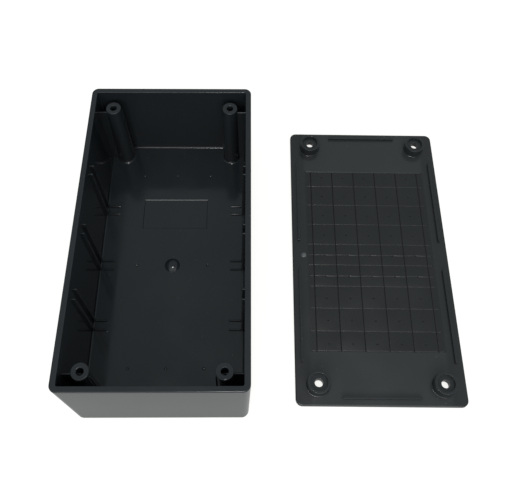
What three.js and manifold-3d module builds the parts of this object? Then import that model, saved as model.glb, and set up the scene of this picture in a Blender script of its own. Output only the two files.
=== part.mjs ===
// Screw-lid enclosure in moulded plastic: a box body standing open, its lid lying inside-up
// beside it, and the four self-tapping screws that hold the lid on, lying in a row behind it.
//
// Millimetres, +Z up. The origin is the middle of the body's underside. The body's length runs
// along Y and the lid lies on its +X side. Every loose piece is drawn where it lies on the table.

import * as THREE from 'three';
import { mergeVertices } from 'three/addons/utils/BufferGeometryUtils.js';
import Module from 'manifold-3d';

const wasm = await Module();
wasm.setup();

// Body shell, measured outside at the rim. A lean is how far a wall moves in from rim to foot.
const BODY_WIDTH = 100;
const BODY_LENGTH = 190;
const BODY_HEIGHT = 63;
const WALL = 3.3;
const FLOOR = 3;
const OUTER_LEAN = 1.3;
const INNER_LEAN = 1;
const OUTER_CORNER_RADIUS = 4;
const INNER_CORNER_RADIUS = 1;
const FOOT_EDGE_RADIUS = 1.8;

// Screw posts, one near each corner, and the web that ties each one to its side wall.
const POST_FROM_SIDE = 13.35;
const POST_FROM_END = 11.9;
const POST_DIAMETER = 9.4;
const POST_FLARE = 0.5;
const PILOT_DEPTH = 20;
const WEB_THICKNESS = 1.2;
const FIN_THICKNESS = 1;
const FIN_REACH_TOP = 0.5;
const FIN_REACH_FOOT = 1.6;
const FIN_TURN = 20;

// Upright guide ribs in pairs on both side walls, each with a low foot across the floor.
const GUIDE_PAIRS = 3;
const GUIDE_PAIR_PITCH = 39.8;
const GUIDE_SPACING = 5.8;
const GUIDE_THICKNESS = 1.2;
const GUIDE_DEPTH = 1.7;
const GUIDE_BELOW_RIM = 9;
const GUIDE_FOOT_LENGTH = 9;
const GUIDE_FOOT_HEIGHT = 1;

// Floor details: a blank sunken label field, a domed gate boss, and drilling pits round it.
const LABEL_WIDTH = 41.9;
const LABEL_LENGTH = 21.3;
const LABEL_OFFSET = 37.35;
const LABEL_DEPTH = 0.4;
const GATE_DIAMETER = 9.6;
const GATE_HEIGHT = 1.5;
const MARK_PITCH_X = 22.4;
const MARK_PITCH_Y = 66.3;
const MARK_DIAMETER = 1.6;
const MARK_DEPTH = 0.5;

// Lid plate, the cups that seat over the posts, and the ribs that drop inside the rim.
const LID_THICKNESS = 3;
const LID_EDGE_RADIUS = 0.6;
const CUP_HEIGHT = 6.6;
const CUP_DEPTH = 2;
const CUP_WALL = 1.6;
const CUP_CLEARANCE = 0.4;
const SEAT_GAP = 0.3;
const HEAD_RECESS_DEPTH = 3.4;
const RIB_HEIGHT = 2;
const RIB_THICKNESS = 1.4;
const RIB_CLEARANCE = 0.35;
const SIDE_RIB_FROM_MIDDLE = 10;
const SIDE_RIB_FROM_END = 25;
const END_RIB_FROM_CUP = 7;
const LID_GATE_DIAMETER = 3.6;
const LID_GATE_HEIGHT = 0.9;
const LID_GATE_FROM_RIB = 2.75;

// Ruled drilling grid on the lid's inside: a shallow sunken panel, scribed V lines on it, and
// a pit in the middle of every cell.
const PANEL_FROM_SIDE = 9.5;
const PANEL_FROM_END = 31.85;
const PANEL_DEPTH = 0.15;
const GRID_PITCH = 14.6;
const ROW_SHIFT = 0.35;
const HALF_ROWS = [0, -1];
const GROOVE_WIDTH = 0.9;
const GROOVE_DEPTH = 0.35;
const GROOVE_FROM_SIDE = 1;
const END_LINE_FROM_END = 0.2;
const PIT_DIAMETER = 1.2;
const PIT_DEPTH = 0.6;

// Lid screws: pan head, cross recess, coarse thread for plastic.
const SCREW_DIAMETER = 4.6;
const SCREW_LENGTH = 16;
const SCREW_PITCH = 2;
const THREAD_DEPTH = 0.6;
const CREST_SHARE = 0.45;
const POINT_LENGTH = 3;
const HEAD_DIAMETER = 9;
const HEAD_HEIGHT = 3.2;
const HEAD_RIM = 1.4;
const HEAD_SHOULDER_DIAMETER = 7.2;
const HEAD_SHOULDER_HEIGHT = 2.7;
const HEAD_CROWN_DIAMETER = 4;
const CROSS_LENGTH = 4.6;
const CROSS_WIDTH = 1;
const CROSS_DEPTH = 1.8;
const SCREW_CLEARANCE = 0.3;
const HEAD_CLEARANCE = 0.6;
const PILOT_INTERFERENCE = 0.6;
const SCREW_COUNT = 4;

// How the loose pieces lie round the body.
const LID_GAP = 26.94;
const LID_SHIFT = 6.95;
const LID_YAW = -0.69;
const SCREW_ROW_GAP = 18;
const SCREW_ROW_PITCH = 25;

// Surface resolution and the overlap that joins one shape to the next.
const CORNER_SEGMENTS = 6;
const ROUND_SEGMENTS = 28;
const THREAD_SEGMENTS = 12;
const MARK_SEGMENTS = 8;
const FOOT_EDGE_STEPS = 4;
const LID_EDGE_STEPS = 2;
const GATE_RINGS = 4;
const MARK_RINGS = 2;
const WELD_DISTANCE = 1e-4;
const SMALLEST_EDGE = 0.005;
const EMBED = 0.6;

// Sizes that follow from the ones above.
const INNER_HALF_WIDTH = BODY_WIDTH / 2 - WALL;
const INNER_HALF_LENGTH = BODY_LENGTH / 2 - WALL;
const SIDE_WALL_MIDDLE = INNER_HALF_WIDTH + WALL / 2 - OUTER_LEAN / 2;
const POST_X = BODY_WIDTH / 2 - POST_FROM_SIDE;
const POST_Y = BODY_LENGTH / 2 - POST_FROM_END;
const CUP_FLOOR = CUP_HEIGHT - CUP_DEPTH;
const POST_TOP = BODY_HEIGHT - CUP_FLOOR - SEAT_GAP;
const GUIDE_TOP = BODY_HEIGHT - GUIDE_BELOW_RIM;
const CUP_BORE_RADIUS = POST_DIAMETER / 2 + CUP_CLEARANCE;
const CUP_RADIUS = CUP_BORE_RADIUS + CUP_WALL;
const PANEL_HALF_WIDTH = BODY_WIDTH / 2 - PANEL_FROM_SIDE;
const PANEL_HALF_LENGTH = BODY_LENGTH / 2 - PANEL_FROM_END;
const PANEL_FACE = LID_THICKNESS - PANEL_DEPTH;
const CUT_TOP = LID_THICKNESS + EMBED;
const CORNERS = [[-1, -1], [1, -1], [-1, 1], [1, 1]];

// ---- solids -------------------------------------------------------------------------------

function solid(geometry) {
  const bare = geometry.index ? geometry.toNonIndexed() : geometry.clone();
  bare.deleteAttribute('normal');
  bare.deleteAttribute('uv');
  const merged = mergeVertices(bare, WELD_DISTANCE);
  const vertProperties = new Float32Array(merged.attributes.position.array);
  const triVerts = new Uint32Array(merged.index.array);
  return new wasm.Manifold(new wasm.Mesh({ numProp: 3, vertProperties, triVerts }));
}

function geometryOf(manifold) {
  const { vertProperties, triVerts } = manifold.simplify(SMALLEST_EDGE).getMesh();
  const geometry = new THREE.BufferGeometry();
  geometry.setAttribute('position', new THREE.BufferAttribute(vertProperties, 3));
  geometry.setIndex(new THREE.BufferAttribute(triVerts, 1));
  geometry.computeVertexNormals();
  return geometry;
}

function block(x0, x1, y0, y1, z0, z1) {
  const geometry = new THREE.BoxGeometry(x1 - x0, y1 - y0, z1 - z0);
  geometry.translate((x0 + x1) / 2, (y0 + y1) / 2, (z0 + z1) / 2);
  return solid(geometry);
}

// A turned shape about Z from [radius, height] points that start and end on the axis.
function turned(points, segments = ROUND_SEGMENTS) {
  const profile = points.map(([radius, height]) => new THREE.Vector2(radius, height));
  const geometry = new THREE.LatheGeometry(profile, segments);
  geometry.rotateX(Math.PI / 2);
  return solid(geometry);
}

function disc(radius, z0, z1) {
  return turned([[0, z0], [radius, z0], [radius, z1], [0, z1]]);
}

// A low round cap, flat underneath at z = 0.
function cap(radius, height, rings, segments) {
  const sphere = (radius * radius + height * height) / (2 * height);
  const spread = Math.asin(radius / sphere);
  const points = [[0, -EMBED], [radius, -EMBED]];
  for (let ring = 0; ring < rings; ring += 1) {
    const angle = spread * (1 - ring / rings);
    points.push([sphere * Math.sin(angle), sphere * Math.cos(angle) - sphere + height]);
  }
  points.push([0, height]);
  return turned(points, segments);
}

function roundedRectangle(halfWidth, halfLength, radius) {
  const shape = new THREE.Shape();
  shape.moveTo(halfWidth, -halfLength + radius);
  shape.lineTo(halfWidth, halfLength - radius);
  shape.absarc(halfWidth - radius, halfLength - radius, radius, 0, Math.PI / 2);
  shape.lineTo(-halfWidth + radius, halfLength);
  shape.absarc(-halfWidth + radius, halfLength - radius, radius, Math.PI / 2, Math.PI);
  shape.lineTo(-halfWidth, -halfLength + radius);
  shape.absarc(-halfWidth + radius, -halfLength + radius, radius, Math.PI, Math.PI * 1.5);
  shape.lineTo(halfWidth - radius, -halfLength);
  shape.absarc(halfWidth - radius, -halfLength + radius, radius, Math.PI * 1.5, Math.PI * 2);
  return shape;
}

// A rounded block whose four sides move in by levels[i].inset at the height levels[i].z.
function moulded(halfWidth, halfLength, radius, levels) {
  const shape = roundedRectangle(halfWidth, halfLength, radius);
  const steps = levels.length - 1;
  const options = { depth: 1, steps, bevelEnabled: false, curveSegments: CORNER_SEGMENTS };
  const geometry = new THREE.ExtrudeGeometry(shape, options);
  const position = geometry.attributes.position;
  for (let i = 0; i < position.count; i += 1) {
    const level = levels[Math.round(position.getZ(i) * steps)];
    const x = position.getX(i);
    const y = position.getY(i);
    position.setXYZ(i, x - Math.sign(x) * level.inset, y - Math.sign(y) * level.inset, level.z);
  }
  return solid(geometry);
}

// Levels that round an edge of the given radius off, starting at height zero and going up.
function roundedFoot(radius, lean, count) {
  const levels = [];
  for (let i = 0; i <= count; i += 1) {
    const angle = (Math.PI / 2) * (i / count);
    levels.push({ z: radius * (1 - Math.cos(angle)), inset: lean + radius * (1 - Math.sin(angle)) });
  }
  return levels;
}

function joined(solids) {
  return solids.reduce((whole, next) => whole.add(next));
}

function mirroredToCorners(make) {
  return CORNERS.map(([sideX, sideY]) => make(sideX, sideY));
}

// ---- box body -----------------------------------------------------------------------------

function innerFaceAt(z) {
  return INNER_HALF_WIDTH - INNER_LEAN * (1 - (z - FLOOR) / (BODY_HEIGHT - FLOOR));
}

function shell() {
  const outer = moulded(BODY_WIDTH / 2, BODY_LENGTH / 2, OUTER_CORNER_RADIUS, [
    ...roundedFoot(FOOT_EDGE_RADIUS, OUTER_LEAN, FOOT_EDGE_STEPS),
    { z: BODY_HEIGHT, inset: 0 },
  ]);
  const cavity = moulded(INNER_HALF_WIDTH, INNER_HALF_LENGTH, INNER_CORNER_RADIUS, [
    { z: FLOOR, inset: INNER_LEAN },
    { z: BODY_HEIGHT, inset: 0 },
    { z: BODY_HEIGHT + EMBED, inset: 0 },
  ]);
  return outer.subtract(cavity);
}

function post(sideX, sideY) {
  const radius = POST_DIAMETER / 2;
  const column = turned([
    [0, FLOOR - EMBED],
    [radius + POST_FLARE, FLOOR - EMBED],
    [radius, POST_TOP],
    [0, POST_TOP],
  ]);
  return column.translate(sideX * POST_X, sideY * POST_Y, 0);
}

function pilotHole(sideX, sideY) {
  const radius = (SCREW_DIAMETER - PILOT_INTERFERENCE) / 2;
  const hole = disc(radius, POST_TOP - PILOT_DEPTH, POST_TOP + EMBED);
  return hole.translate(sideX * POST_X, sideY * POST_Y, 0);
}

function web(sideX, sideY) {
  const ends = [sideX * POST_X, sideX * SIDE_WALL_MIDDLE].sort((a, b) => a - b);
  const y = sideY * POST_Y;
  const half = WEB_THICKNESS / 2;
  return block(ends[0], ends[1], y - half, y + half, FLOOR - EMBED, GUIDE_TOP);
}

// An upright plate from an outline in the XZ plane, centred on y = 0.
function plate(points, thickness) {
  const shape = new THREE.Shape(points.map(([x, z]) => new THREE.Vector2(x, z)));
  const geometry = new THREE.ExtrudeGeometry(shape, { depth: thickness, bevelEnabled: false });
  geometry.translate(0, 0, -thickness / 2);
  geometry.rotateX(Math.PI / 2);
  return solid(geometry);
}

// A thin stiffening fin down the inner side of a post, deeper at the foot.
function fin(sideX, sideY) {
  const radius = POST_DIAMETER / 2;
  const outline = [
    [0, FLOOR - EMBED],
    [radius + FIN_REACH_FOOT, FLOOR - EMBED],
    [radius + FIN_REACH_TOP, GUIDE_TOP],
    [0, GUIDE_TOP],
  ];
  const inward = sideX > 0 ? 180 : 0;
  const turn = inward + sideX * sideY * -FIN_TURN;
  return plate(outline, FIN_THICKNESS).rotate([0, 0, turn]).translate(sideX * POST_X, sideY * POST_Y, 0);
}

function guide(sideX, y) {
  const footTop = FLOOR + GUIDE_FOOT_HEIGHT;
  const outline = [
    [SIDE_WALL_MIDDLE, FLOOR - EMBED],
    [innerFaceAt(FLOOR) - GUIDE_FOOT_LENGTH, FLOOR - EMBED],
    [innerFaceAt(FLOOR) - GUIDE_FOOT_LENGTH, footTop],
    [innerFaceAt(footTop) - GUIDE_DEPTH, footTop],
    [innerFaceAt(GUIDE_TOP) - GUIDE_DEPTH, GUIDE_TOP],
    [SIDE_WALL_MIDDLE, GUIDE_TOP],
  ];
  const rib = plate(outline, GUIDE_THICKNESS);
  const turn = sideX > 0 ? 0 : 180;
  return rib.rotate([0, 0, turn]).translate(0, y, 0);
}

function guides() {
  const ribs = [];
  for (const sideX of [-1, 1]) {
    for (let pair = 0; pair < GUIDE_PAIRS; pair += 1) {
      const middle = (pair - (GUIDE_PAIRS - 1) / 2) * GUIDE_PAIR_PITCH;
      ribs.push(guide(sideX, middle - GUIDE_SPACING / 2));
      ribs.push(guide(sideX, middle + GUIDE_SPACING / 2));
    }
  }
  return ribs;
}

function labelField() {
  const halfLabel = LABEL_WIDTH / 2;
  const near = LABEL_OFFSET - LABEL_LENGTH / 2;
  const far = LABEL_OFFSET + LABEL_LENGTH / 2;
  return block(-halfLabel, halfLabel, near, far, FLOOR - LABEL_DEPTH, FLOOR + EMBED);
}

function gateDome() {
  const dome = cap(GATE_DIAMETER / 2, GATE_HEIGHT, GATE_RINGS, ROUND_SEGMENTS);
  return dome.translate(0, 0, FLOOR);
}

// Half the opening, `rise` above a face, of a sloping cut that is `width` wide at the face.
function openHalfWidth(width, depth, rise) {
  return (width / 2) * (1 + rise / depth);
}

// A small cone cut into the face at the given height.
function pit(diameter, depth, face) {
  const open = openHalfWidth(diameter, depth, EMBED);
  return turned([[0, face - depth], [open, face + EMBED], [0, face + EMBED]], MARK_SEGMENTS);
}

function floorMarks() {
  const mark = pit(MARK_DIAMETER, MARK_DEPTH, FLOOR);
  const marks = [];
  for (const column of [-1, 0, 1]) {
    for (const row of [-1, 0, 1]) {
      if (column !== 0 || row !== 0) {
        marks.push(mark.translate(column * MARK_PITCH_X, row * MARK_PITCH_Y, 0));
      }
    }
  }
  return marks;
}

function boxBody() {
  const additions = [
    ...mirroredToCorners(post),
    ...mirroredToCorners(web),
    ...mirroredToCorners(fin),
    ...guides(),
    gateDome(),
  ];
  const cuts = [...mirroredToCorners(pilotHole), labelField(), ...floorMarks()];
  return shell().add(joined(additions)).subtract(joined(cuts));
}

// ---- lid, inside up, with its outer face on z = 0 ------------------------------------------

function lidPlate() {
  const halfWidth = BODY_WIDTH / 2;
  const halfLength = BODY_LENGTH / 2;
  return moulded(halfWidth, halfLength, OUTER_CORNER_RADIUS, [
    ...roundedFoot(LID_EDGE_RADIUS, 0, LID_EDGE_STEPS),
    { z: LID_THICKNESS, inset: 0 },
  ]);
}

function cup(sideX, sideY) {
  const column = disc(CUP_RADIUS, LID_THICKNESS - EMBED, LID_THICKNESS + CUP_HEIGHT);
  return column.translate(sideX * POST_X, sideY * POST_Y, 0);
}

function cupBores(sideX, sideY) {
  const seat = LID_THICKNESS + CUP_FLOOR;
  const top = LID_THICKNESS + CUP_HEIGHT + EMBED;
  const holeRadius = (SCREW_DIAMETER + SCREW_CLEARANCE) / 2;
  const recessRadius = (HEAD_DIAMETER + HEAD_CLEARANCE) / 2;
  const bore = turned([
    [0, -EMBED],
    [recessRadius, -EMBED],
    [recessRadius, HEAD_RECESS_DEPTH],
    [holeRadius, HEAD_RECESS_DEPTH],
    [holeRadius, seat],
    [CUP_BORE_RADIUS, seat],
    [CUP_BORE_RADIUS, top],
    [0, top],
  ]);
  return bore.translate(sideX * POST_X, sideY * POST_Y, 0);
}

function locatingRibs() {
  const z0 = LID_THICKNESS - EMBED;
  const z1 = LID_THICKNESS + RIB_HEIGHT;
  const sideOuter = INNER_HALF_WIDTH - RIB_CLEARANCE;
  const sideInner = sideOuter - RIB_THICKNESS;
  const endOuter = INNER_HALF_LENGTH - RIB_CLEARANCE;
  const endInner = endOuter - RIB_THICKNESS;
  const sideEnd = BODY_LENGTH / 2 - SIDE_RIB_FROM_END;
  const endHalf = POST_X - CUP_RADIUS - END_RIB_FROM_CUP;
  const ribs = [
    block(-endHalf, endHalf, endInner, endOuter, z0, z1),
    block(-endHalf, endHalf, -endOuter, -endInner, z0, z1),
  ];
  for (const [near, far] of [[SIDE_RIB_FROM_MIDDLE, sideEnd], [-sideEnd, -SIDE_RIB_FROM_MIDDLE]]) {
    ribs.push(block(sideInner, sideOuter, near, far, z0, z1));
    ribs.push(block(-sideOuter, -sideInner, near, far, z0, z1));
  }
  return ribs;
}

// Where the lines between cells fall: half a pitch each side of the middle, then every pitch.
function gridOffsets(halfSpan) {
  const offsets = [];
  for (let offset = GRID_PITCH / 2; offset < halfSpan - GROOVE_WIDTH; offset += GRID_PITCH) {
    offsets.push(-offset, offset);
  }
  return offsets;
}

// A scribed V line along Y.
function groove(length) {
  const open = openHalfWidth(GROOVE_WIDTH, GROOVE_DEPTH, CUT_TOP - PANEL_FACE);
  return plate([[0, PANEL_FACE - GROOVE_DEPTH], [open, CUT_TOP], [-open, CUT_TOP]], length);
}

function scribedLines() {
  const endLine = PANEL_HALF_LENGTH - END_LINE_FROM_END;
  const across = [
    ...gridOffsets(PANEL_HALF_LENGTH - ROW_SHIFT).map((y) => y + ROW_SHIFT),
    ...HALF_ROWS.map((row) => row * GRID_PITCH),
    -endLine,
    endLine,
  ];
  const column = groove(PANEL_HALF_LENGTH * 2 - END_LINE_FROM_END);
  const row = groove((PANEL_HALF_WIDTH - GROOVE_FROM_SIDE) * 2).rotate([0, 0, 90]);
  const columns = gridOffsets(PANEL_HALF_WIDTH).map((x) => column.translate(x, 0, 0));
  return [...columns, ...across.map((y) => row.translate(0, y, 0))];
}

function cellPits() {
  const cone = pit(PIT_DIAMETER, PIT_DEPTH, PANEL_FACE);
  const columns = Math.floor((PANEL_HALF_WIDTH - PIT_DIAMETER) / GRID_PITCH);
  const rows = Math.floor((PANEL_HALF_LENGTH - PIT_DIAMETER) / GRID_PITCH);
  const cones = [];
  for (let column = -columns; column <= columns; column += 1) {
    for (let row = -rows; row <= rows; row += 1) {
      cones.push(cone.translate(column * GRID_PITCH, row * GRID_PITCH, 0));
    }
  }
  return cones;
}

function ruledPanel() {
  const x = PANEL_HALF_WIDTH;
  const y = PANEL_HALF_LENGTH;
  return joined([block(-x, x, -y, y, PANEL_FACE, CUT_TOP), ...scribedLines(), ...cellPits()]);
}

function lid() {
  const ribMiddle = INNER_HALF_WIDTH - RIB_CLEARANCE - RIB_THICKNESS / 2;
  const gate = cap(LID_GATE_DIAMETER / 2, LID_GATE_HEIGHT, MARK_RINGS, THREAD_SEGMENTS)
    .translate(LID_GATE_FROM_RIB - ribMiddle, 0, LID_THICKNESS);
  return lidPlate()
    .subtract(ruledPanel())
    .add(joined([...mirroredToCorners(cup), ...locatingRibs(), gate]))
    .subtract(joined(mirroredToCorners(cupBores)));
}

// ---- lid screw, point down, with the underside of its head at z = 0 ------------------------

// Stacked rings with a coarse thread's profile, from the top of the point upwards.
function threadProfile(root, crest, shankEnd) {
  const points = [];
  const turns = Math.floor((SCREW_LENGTH - POINT_LENGTH) / SCREW_PITCH);
  const crestAt = SCREW_PITCH * CREST_SHARE;
  for (let turn = 0; turn < turns; turn += 1) {
    const z = shankEnd + turn * SCREW_PITCH;
    points.push([crest, z + crestAt], [root, z + crestAt * 2]);
  }
  return points;
}

function crossRecess() {
  const arm = CROSS_LENGTH / 2;
  const half = CROSS_WIDTH / 2;
  const bottom = HEAD_HEIGHT - CROSS_DEPTH;
  const top = HEAD_HEIGHT + EMBED;
  const across = block(-arm, arm, -half, half, bottom, top);
  return across.add(block(-half, half, -arm, arm, bottom, top));
}

function screw() {
  const crest = SCREW_DIAMETER / 2;
  const root = crest - THREAD_DEPTH;
  const shankEnd = POINT_LENGTH - SCREW_LENGTH;
  const points = [
    [0, -SCREW_LENGTH],
    [root, shankEnd],
    ...threadProfile(root, crest, shankEnd),
    [root, 0],
    [HEAD_DIAMETER / 2, 0],
    [HEAD_DIAMETER / 2, HEAD_RIM],
    [HEAD_SHOULDER_DIAMETER / 2, HEAD_SHOULDER_HEIGHT],
    [HEAD_CROWN_DIAMETER / 2, HEAD_HEIGHT],
    [0, HEAD_HEIGHT],
  ];
  return turned(points, THREAD_SEGMENTS).subtract(crossRecess());
}

// ---- assembly -----------------------------------------------------------------------------

const blackPlastic = { color: 0x25282a, roughness: 0.42, metalness: 0 };
const zincSteel = { color: 0xb9bcc0, roughness: 0.35, metalness: 0.9 };

function node(name, manifold, finish) {
  const mesh = new THREE.Mesh(geometryOf(manifold), new THREE.MeshStandardMaterial(finish));
  mesh.name = name;
  return mesh;
}

function placedLid() {
  const mesh = node('lid', lid(), blackPlastic);
  mesh.position.set(BODY_WIDTH + LID_GAP, LID_SHIFT, 0);
  mesh.rotation.z = THREE.MathUtils.degToRad(LID_YAW);
  return mesh;
}

// A loose screw lies on its lowest thread and on the rim of its head, so its axis slopes.
function placedScrew(shape, index) {
  const lowestThread = SCREW_LENGTH - POINT_LENGTH - SCREW_PITCH * CREST_SHARE;
  const slope = Math.atan2((HEAD_DIAMETER - SCREW_DIAMETER) / 2, lowestThread);
  const rowMiddle = (index - (SCREW_COUNT - 1) / 2) * SCREW_ROW_PITCH;
  const headToMiddle = (SCREW_LENGTH - HEAD_HEIGHT) / 2;
  const mesh = node(`lid_screw_${index + 1}`, shape, zincSteel);
  mesh.rotation.y = slope - Math.PI / 2;
  mesh.position.x = rowMiddle - headToMiddle;
  mesh.position.y = BODY_LENGTH / 2 + SCREW_ROW_GAP;
  mesh.position.z = (HEAD_DIAMETER / 2) * Math.cos(slope);
  return mesh;
}

const assembly = new THREE.Group();
assembly.add(node('box_body', boxBody(), blackPlastic));
assembly.add(placedLid());
const screwShape = screw();
for (let index = 0; index < SCREW_COUNT; index += 1) {
  assembly.add(placedScrew(screwShape, index));
}

export default assembly;
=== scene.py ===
# %% [markdown]
# # A moulded plastic box with its lid lying beside it
# The object is a black screw-lid box. The body stands open, the lid lies next to it with its
# inside up, and four short screws lie behind. Every piece below is built in the same place as
# the engineering model, so the first step is to load that model as the frame.

# %% Load the frame
import math

import bmesh
import bpy
from mathutils import Matrix, Vector


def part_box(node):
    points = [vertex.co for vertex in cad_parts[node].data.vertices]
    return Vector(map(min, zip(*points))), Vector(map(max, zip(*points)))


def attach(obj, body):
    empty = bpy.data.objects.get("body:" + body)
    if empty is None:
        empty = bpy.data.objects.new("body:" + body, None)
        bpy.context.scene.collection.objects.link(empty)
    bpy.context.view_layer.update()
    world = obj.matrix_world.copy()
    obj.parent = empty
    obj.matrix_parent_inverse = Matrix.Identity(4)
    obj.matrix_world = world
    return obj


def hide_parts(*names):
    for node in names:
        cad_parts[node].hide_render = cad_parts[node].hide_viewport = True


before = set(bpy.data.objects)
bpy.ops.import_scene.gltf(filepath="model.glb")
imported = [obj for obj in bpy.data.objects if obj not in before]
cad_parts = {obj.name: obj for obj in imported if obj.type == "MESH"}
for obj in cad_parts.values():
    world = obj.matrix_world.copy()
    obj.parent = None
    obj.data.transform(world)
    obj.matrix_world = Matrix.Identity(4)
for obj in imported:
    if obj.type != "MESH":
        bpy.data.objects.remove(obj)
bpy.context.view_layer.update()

# %% [markdown]
# ## The camera
# The box is seen from above its near end, a little to the right of its middle. A long-ish lens
# from about 45 cm keeps the walls converging gently. The shift slides the picture on the sensor
# so that the lens keeps its angle while the box and the lid sit in the middle of the frame.

# %% Camera
SENSOR_WIDTH = 36.0
FOCAL_LENGTH = 48.13
SLIDE_ACROSS, SLIDE_UP = -0.0065, -0.1208
NEAREST_SEEN = 0.01
CAMERA_PLACE = (0.04889, -0.17924, 0.40175)
PAN, TILT, ROLL = -1.423, 30.66, 1.308

lens = bpy.data.cameras.new("studio_camera")
lens.sensor_width = SENSOR_WIDTH
lens.lens = FOCAL_LENGTH
lens.shift_x = SLIDE_ACROSS
lens.shift_y = SLIDE_UP
lens.clip_start = NEAREST_SEEN
camera = bpy.data.objects.new("studio_camera", lens)
bpy.context.collection.objects.link(camera)
camera.matrix_world = (
    Matrix.Translation(CAMERA_PLACE)
    @ Matrix.Rotation(math.radians(PAN), 4, "Z")
    @ Matrix.Rotation(math.radians(TILT), 4, "X")
    @ Matrix.Rotation(math.radians(ROLL), 4, "Z")
)
bpy.context.scene.camera = camera
print("camera at", [round(value, 4) for value in camera.matrix_world.translation])

# %% [markdown]
# ## Working in millimetres
# Mould drawings are in millimetres, so every shape is made in millimetres round its own origin
# and brought to metres at the very end. The helper below does that last step for each piece:
# it scales the mesh, makes the object, and says which body it rides on. Weighted normals keep
# big flat faces flat while the small rounded edges between them shade smoothly.

# %% Turn a shape into a finished piece
MM = 0.001
SMOOTH_ANGLE = math.radians(40)


def as_object(shape, name):
    bmesh.ops.scale(shape, vec=(MM, MM, MM), verts=shape.verts)
    mesh = bpy.data.meshes.new(name)
    shape.to_mesh(mesh)
    shape.free()
    piece = bpy.data.objects.new(name, mesh)
    bpy.context.collection.objects.link(piece)
    return piece


def finished(piece, body, material):
    mesh = piece.data
    mesh.shade_smooth()
    mesh.set_sharp_from_angle(angle=SMOOTH_ANGLE)
    mesh.materials.clear()
    mesh.materials.append(material)
    even = piece.modifiers.new("even_normals", "WEIGHTED_NORMAL")
    even.keep_sharp = True
    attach(piece, body)
    print(piece.name, "has", len(mesh.polygons), "faces and rides on", body)
    return piece


# %% [markdown]
# ## Small helpers for picking and joining
# Most steps pick edges by where they are: the upright ones, or the ones lying at a height. The
# helpers keep that in one place, so each piece reads as a short list of moves.

# %% Pick edges, soften them, join shapes
NEAR = 0.02
UPRIGHT_RISE = 1


def upright_edges(shape):
    return [e for e in shape.edges
            if abs(e.verts[0].co.z - e.verts[1].co.z) > UPRIGHT_RISE]


def edges_at(shape, height):
    return [e for e in shape.edges if all(abs(v.co.z - height) < NEAR for v in e.verts)]


def soften(shape, edges, radius, segments):
    bmesh.ops.bevel(
        shape, geom=edges, offset=radius, offset_type="OFFSET", segments=segments,
        profile=0.5, affect="EDGES", clamp_overlap=False, material=-1,
    )


def joined(*shapes):
    whole = bmesh.new()
    for shape in shapes:
        carrier = bpy.data.meshes.new("carrier")
        shape.to_mesh(carrier)
        shape.free()
        whole.from_mesh(carrier)
        bpy.data.meshes.remove(carrier)
    return whole


def moved(shape, x=0.0, y=0.0, z=0.0, turn=0.0):
    bmesh.ops.rotate(
        shape, cent=(0, 0, 0), matrix=Matrix.Rotation(turn, 3, "Z"), verts=shape.verts)
    bmesh.ops.translate(shape, vec=(x, y, z), verts=shape.verts)
    return shape


def slab(x0, x1, y0, y1, z0, z1):
    shape = bmesh.new()
    bmesh.ops.create_cube(shape, size=1)
    bmesh.ops.scale(shape, vec=(x1 - x0, y1 - y0, z1 - z0), verts=shape.verts)
    return moved(shape, (x0 + x1) / 2, (y0 + y1) / 2, (z0 + z1) / 2)


print("helpers ready")

# %% [markdown]
# ## Turned shapes
# Posts, cups, domes and screw heads are all round. Each one starts as half of its outline: a few
# corner points joined by edges, with some corners rounded by a vertex bevel. Spinning that
# outline once round the upright axis closes it into a solid.

# %% Spin an outline into a round shape
ROUND_STEPS = 48
CORNER_SEGMENTS = 5
WELD_GAP = 0.001


def outline(points, rounded=None):
    shape = bmesh.new()
    corners = [shape.verts.new((radius, 0, height)) for radius, height in points]
    for start, end in zip(corners, corners[1:]):
        shape.edges.new((start, end))
    for index, radius in (rounded or {}).items():
        bmesh.ops.bevel(
            shape, geom=[corners[index]], offset=radius, offset_type="OFFSET",
            segments=CORNER_SEGMENTS, profile=0.5, affect="VERTICES", clamp_overlap=False,
            material=-1,
        )
    return shape


def turned(points, rounded=None, steps=ROUND_STEPS):
    shape = outline(points, rounded)
    bmesh.ops.spin(
        shape, geom=shape.verts[:] + shape.edges[:], cent=(0, 0, 0), axis=(0, 0, 1),
        dvec=(0, 0, 0), angle=math.tau, steps=steps, use_merge=True, use_duplicate=False,
    )
    bmesh.ops.remove_doubles(shape, verts=shape.verts, dist=WELD_GAP)
    bmesh.ops.recalc_face_normals(shape, faces=shape.faces)
    return shape


print("a turned disc has", len(turned([(0, 0), (2, 0), (2, 1), (0, 1)]).faces), "faces")

# %% [markdown]
# ## Low domes
# The moulds were filled through one point each, which leaves a round dome on the body's floor and
# a small one on the lid. A dome is the top slice of a large ball, so a ball is made, cut by a
# plane, and the cut is filled.

# %% Slice a dome off a ball
def dome(radius, height, rings=48, sink=0.3):
    ball = (radius * radius + height * height) / (2 * height)
    shape = bmesh.new()
    bmesh.ops.create_uvsphere(shape, u_segments=ROUND_STEPS, v_segments=rings * 2, radius=ball)
    bmesh.ops.translate(shape, vec=(0, 0, height - ball), verts=shape.verts)
    everything = shape.verts[:] + shape.edges[:] + shape.faces[:]
    bmesh.ops.bisect_plane(
        shape, geom=everything, plane_co=(0, 0, -sink), plane_no=(0, 0, 1), clear_inner=True)
    rim = [edge for edge in shape.edges if edge.is_boundary]
    bmesh.ops.holes_fill(shape, edges=rim, sides=0)
    return shape


# %% [markdown]
# # Finishes
# Two kinds of finish are needed: black plastic and zinc-plated steel. The plastic comes in four
# tones, for the body, the lid's plate, its cups and ribs, and the torn gate mark. The darker tone
# of the cups and ribs is partly their own colour and partly painted shade for their shaded walls.
# Five effects are shared. Each one is a node group that is built once, and most take their own
# values in every material.

# %% Start a node group
MIDDLE_BAND = (0.35, 0.65)


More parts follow.
